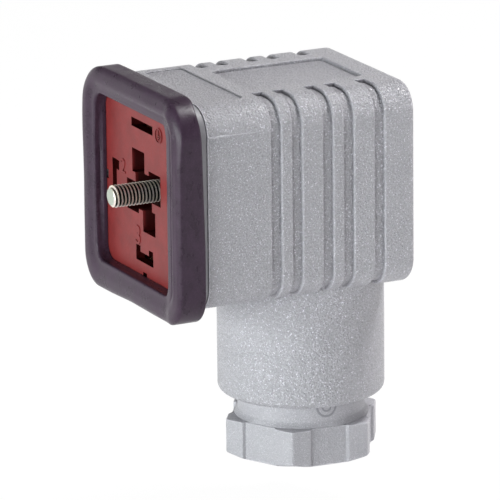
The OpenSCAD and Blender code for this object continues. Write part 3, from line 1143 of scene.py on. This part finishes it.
    def mould_mark(self) -> bpy.types.Object:
        """Builds the two thin raised rings that the mould leaves on the collar.

        Returns:
            The mark.
        """
        shape = bmesh.new()
        start = math.radians(self.mark_turn)
        for radius, width in self.mark_rings:
            section = ((-width / 2, -0.05), (-width / 2, self.mark_rise / 2),
                       (-width / 5, self.mark_rise), (width / 5, self.mark_rise),
                       (width / 2, self.mark_rise / 2), (width / 2, -0.05))
            rings = [[self.at(self.sleeve + rise,
                              start + (radius + out) * math.cos(angle) / self.sleeve,
                              self.mark_level + (radius + out) * math.sin(angle))
                      for angle in full_turn(48)] for out, rise in section]
            loft(rings, round_trip=True, shape=shape)
        return add_mesh("gland_mould_mark", shape)


# ---- studio


@dataclass(frozen=True)
class Lamp:
    """A soft rectangular lamp that faces the plug."""

    name: str
    azimuth: float
    elevation: float
    distance: float
    size: Pair
    power: float
    colour: Colour = (1.0, 1.0, 1.0)


def facing(azimuth: float, elevation: float) -> Vector:
    """Gives the direction of a place as seen from the plug, from angles in degrees."""
    az, el = math.radians(azimuth), math.radians(elevation)
    return Vector((math.sin(az) * math.cos(el), -math.cos(az) * math.cos(el), math.sin(el)))


@dataclass
class Studio:
    """Floor, lamps, surroundings and camera."""

    floor_level: float = -46.0
    aim: Point = (17.0, 0.0, -10.0)
    eye: Point = (-301.256, -652.333, 189.912)
    azimuth: float = -26.023
    elevation: float = 15.389
    roll: float = -0.624
    lens: float = 406.58
    lamps: tuple[Lamp, ...] = (
        Lamp("left_panel", -83, 4, 420, (380, 210), 1.8, (0.94, 1.0, 0.99)),
        Lamp("left_front", -50, 6, 420, (160, 160), 0.56, (0.94, 1.0, 0.99)),
        Lamp("near_fill", 42, 12, 110, (60, 60), 0.022),
        Lamp("right_side", 78, 8, 420, (200, 200), 0.07),
        Lamp("top_rear", 88, 58, 420, (110, 110), 1.6),
    )
    room: float = 0.01
    zenith_share: float = 0.7
    dark_side: float = 0.2
    backdrop_top: Pair = (0.1, 0.3)
    floor_share: float = 0.95
    floor_glow: float = 1.03

    def build(self) -> None:
        """Sets up everything that is not the plug."""
        self.set_camera()
        for lamp in self.lamps:
            self.add_lamp(lamp)
        self.add_floor()
        self.set_world()
        bpy.context.scene.view_settings.view_transform = "Standard"

    def set_camera(self) -> None:
        """Places the camera at its viewing angle."""
        back = facing(self.azimuth, self.elevation)
        az, roll = math.radians(self.azimuth), math.radians(self.roll)
        right = Vector((math.cos(az), math.sin(az), 0.0))
        up = back.cross(right)
        across = right * math.cos(roll) + up * math.sin(roll)
        upward = up * math.cos(roll) - right * math.sin(roll)
        data = bpy.data.cameras.new("camera")
        data.lens, data.sensor_width = self.lens, 36.0
        data.clip_start, data.clip_end = 0.05, 5.0
        made = placed("camera", data)
        made.matrix_world = Matrix((
            (across.x, upward.x, back.x, self.eye[0] * MM),
            (across.y, upward.y, back.y, self.eye[1] * MM),
            (across.z, upward.z, back.z, self.eye[2] * MM),
            (0.0, 0.0, 0.0, 1.0)))
        bpy.context.scene.camera = made

    def add_lamp(self, lamp: Lamp) -> None:
        """Adds one lamp that faces the aim point.

        Args:
            lamp: its place, size, power and colour.
        """
        data = bpy.data.lights.new(lamp.name, "AREA")
        data.shape = "RECTANGLE"
        data.size, data.size_y = lamp.size[0] * MM, lamp.size[1] * MM
        data.energy, data.color = lamp.power, lamp.colour
        back = facing(lamp.azimuth, lamp.elevation)
        made = placed(lamp.name, data)
        made.location = (Vector(self.aim) + back * lamp.distance) * MM
        made.rotation_mode = "QUATERNION"
        made.rotation_quaternion = (-back).to_track_quat("-Z", "Y")

    def add_floor(self) -> None:
        """Adds the pale floor, which is almost white to the eye and keeps a faint shadow."""
        shape = bmesh.new()
        bmesh.ops.create_grid(shape, x_segments=1, y_segments=1, size=1500)
        bmesh.ops.translate(shape, vec=(0, 0, self.floor_level), verts=shape.verts)
        floor = add_mesh("floor", shape)
        sheet = Sheet("floor_paper")
        paper = sheet.ramp(sheet.noise(8.0, 3.0), 0.3, 0.7)
        sheet.set(Roughness=0.9,
                  Base_Color=sheet.blend(paper, (0.8, 0.8, 0.81), (0.82, 0.82, 0.83)))
        seen = sheet.math("MAXIMUM", sheet.ray("Camera"), sheet.mirrored())
        glow = sheet.light("ShaderNodeEmission", self.floor_glow)
        share = sheet.math("MULTIPLY", seen, self.floor_share)
        sheet.feed(sheet.output.inputs["Surface"],
                   sheet.mix(share, sheet.shader.outputs["BSDF"], glow))
        floor.data.materials.append(sheet.material)

    def set_world(self) -> None:
        """Surrounds the plug with a soft room, whose far side is a low white backdrop."""
        world = bpy.data.worlds.new("studio")
        world.use_nodes = True
        bpy.context.scene.world = world
        world.node_tree.nodes.clear()
        nodes = Nodes(world.node_tree)
        way = nodes.node("ShaderNodeTexCoord").outputs["Generated"]
        parts = nodes.node("ShaderNodeSeparateXYZ", {"Vector": way})

        def slope(axis: str, *numbers: float) -> Socket:
            """Gives an even change along one axis of the surroundings."""
            return nodes.ramp(parts.outputs[axis], *numbers, how="LINEAR")

        behind = nodes.math("MULTIPLY", slope("Y", 0.0, 0.5, 0.0, 1.0),
                            slope("Z", *self.backdrop_top, 1.0, 0.0))
        white, dark, room = (nodes.light("ShaderNodeBackground", strength) for strength in (
            1.0, self.dark_side, slope("Z", 0.0, 1.0, self.room, self.room * self.zenith_share)))
        lit = nodes.mix(nodes.mirrored(), room, nodes.mix(behind, dark, white))
        nodes.node("ShaderNodeOutputWorld",
                   {"Surface": nodes.mix(nodes.ray("Camera"), lit, white)})


def main() -> None:
    """Builds the plug's looks and its studio."""
    logging.basicConfig(level=logging.INFO, format="%(name)s: %(message)s")
    Studio().build()
    for part in (Housing(), Gasket(), Carrier(), Terminals(), FixingScrew(), Gland()):
        part.build()


if __name__ == "__main__":
    main()
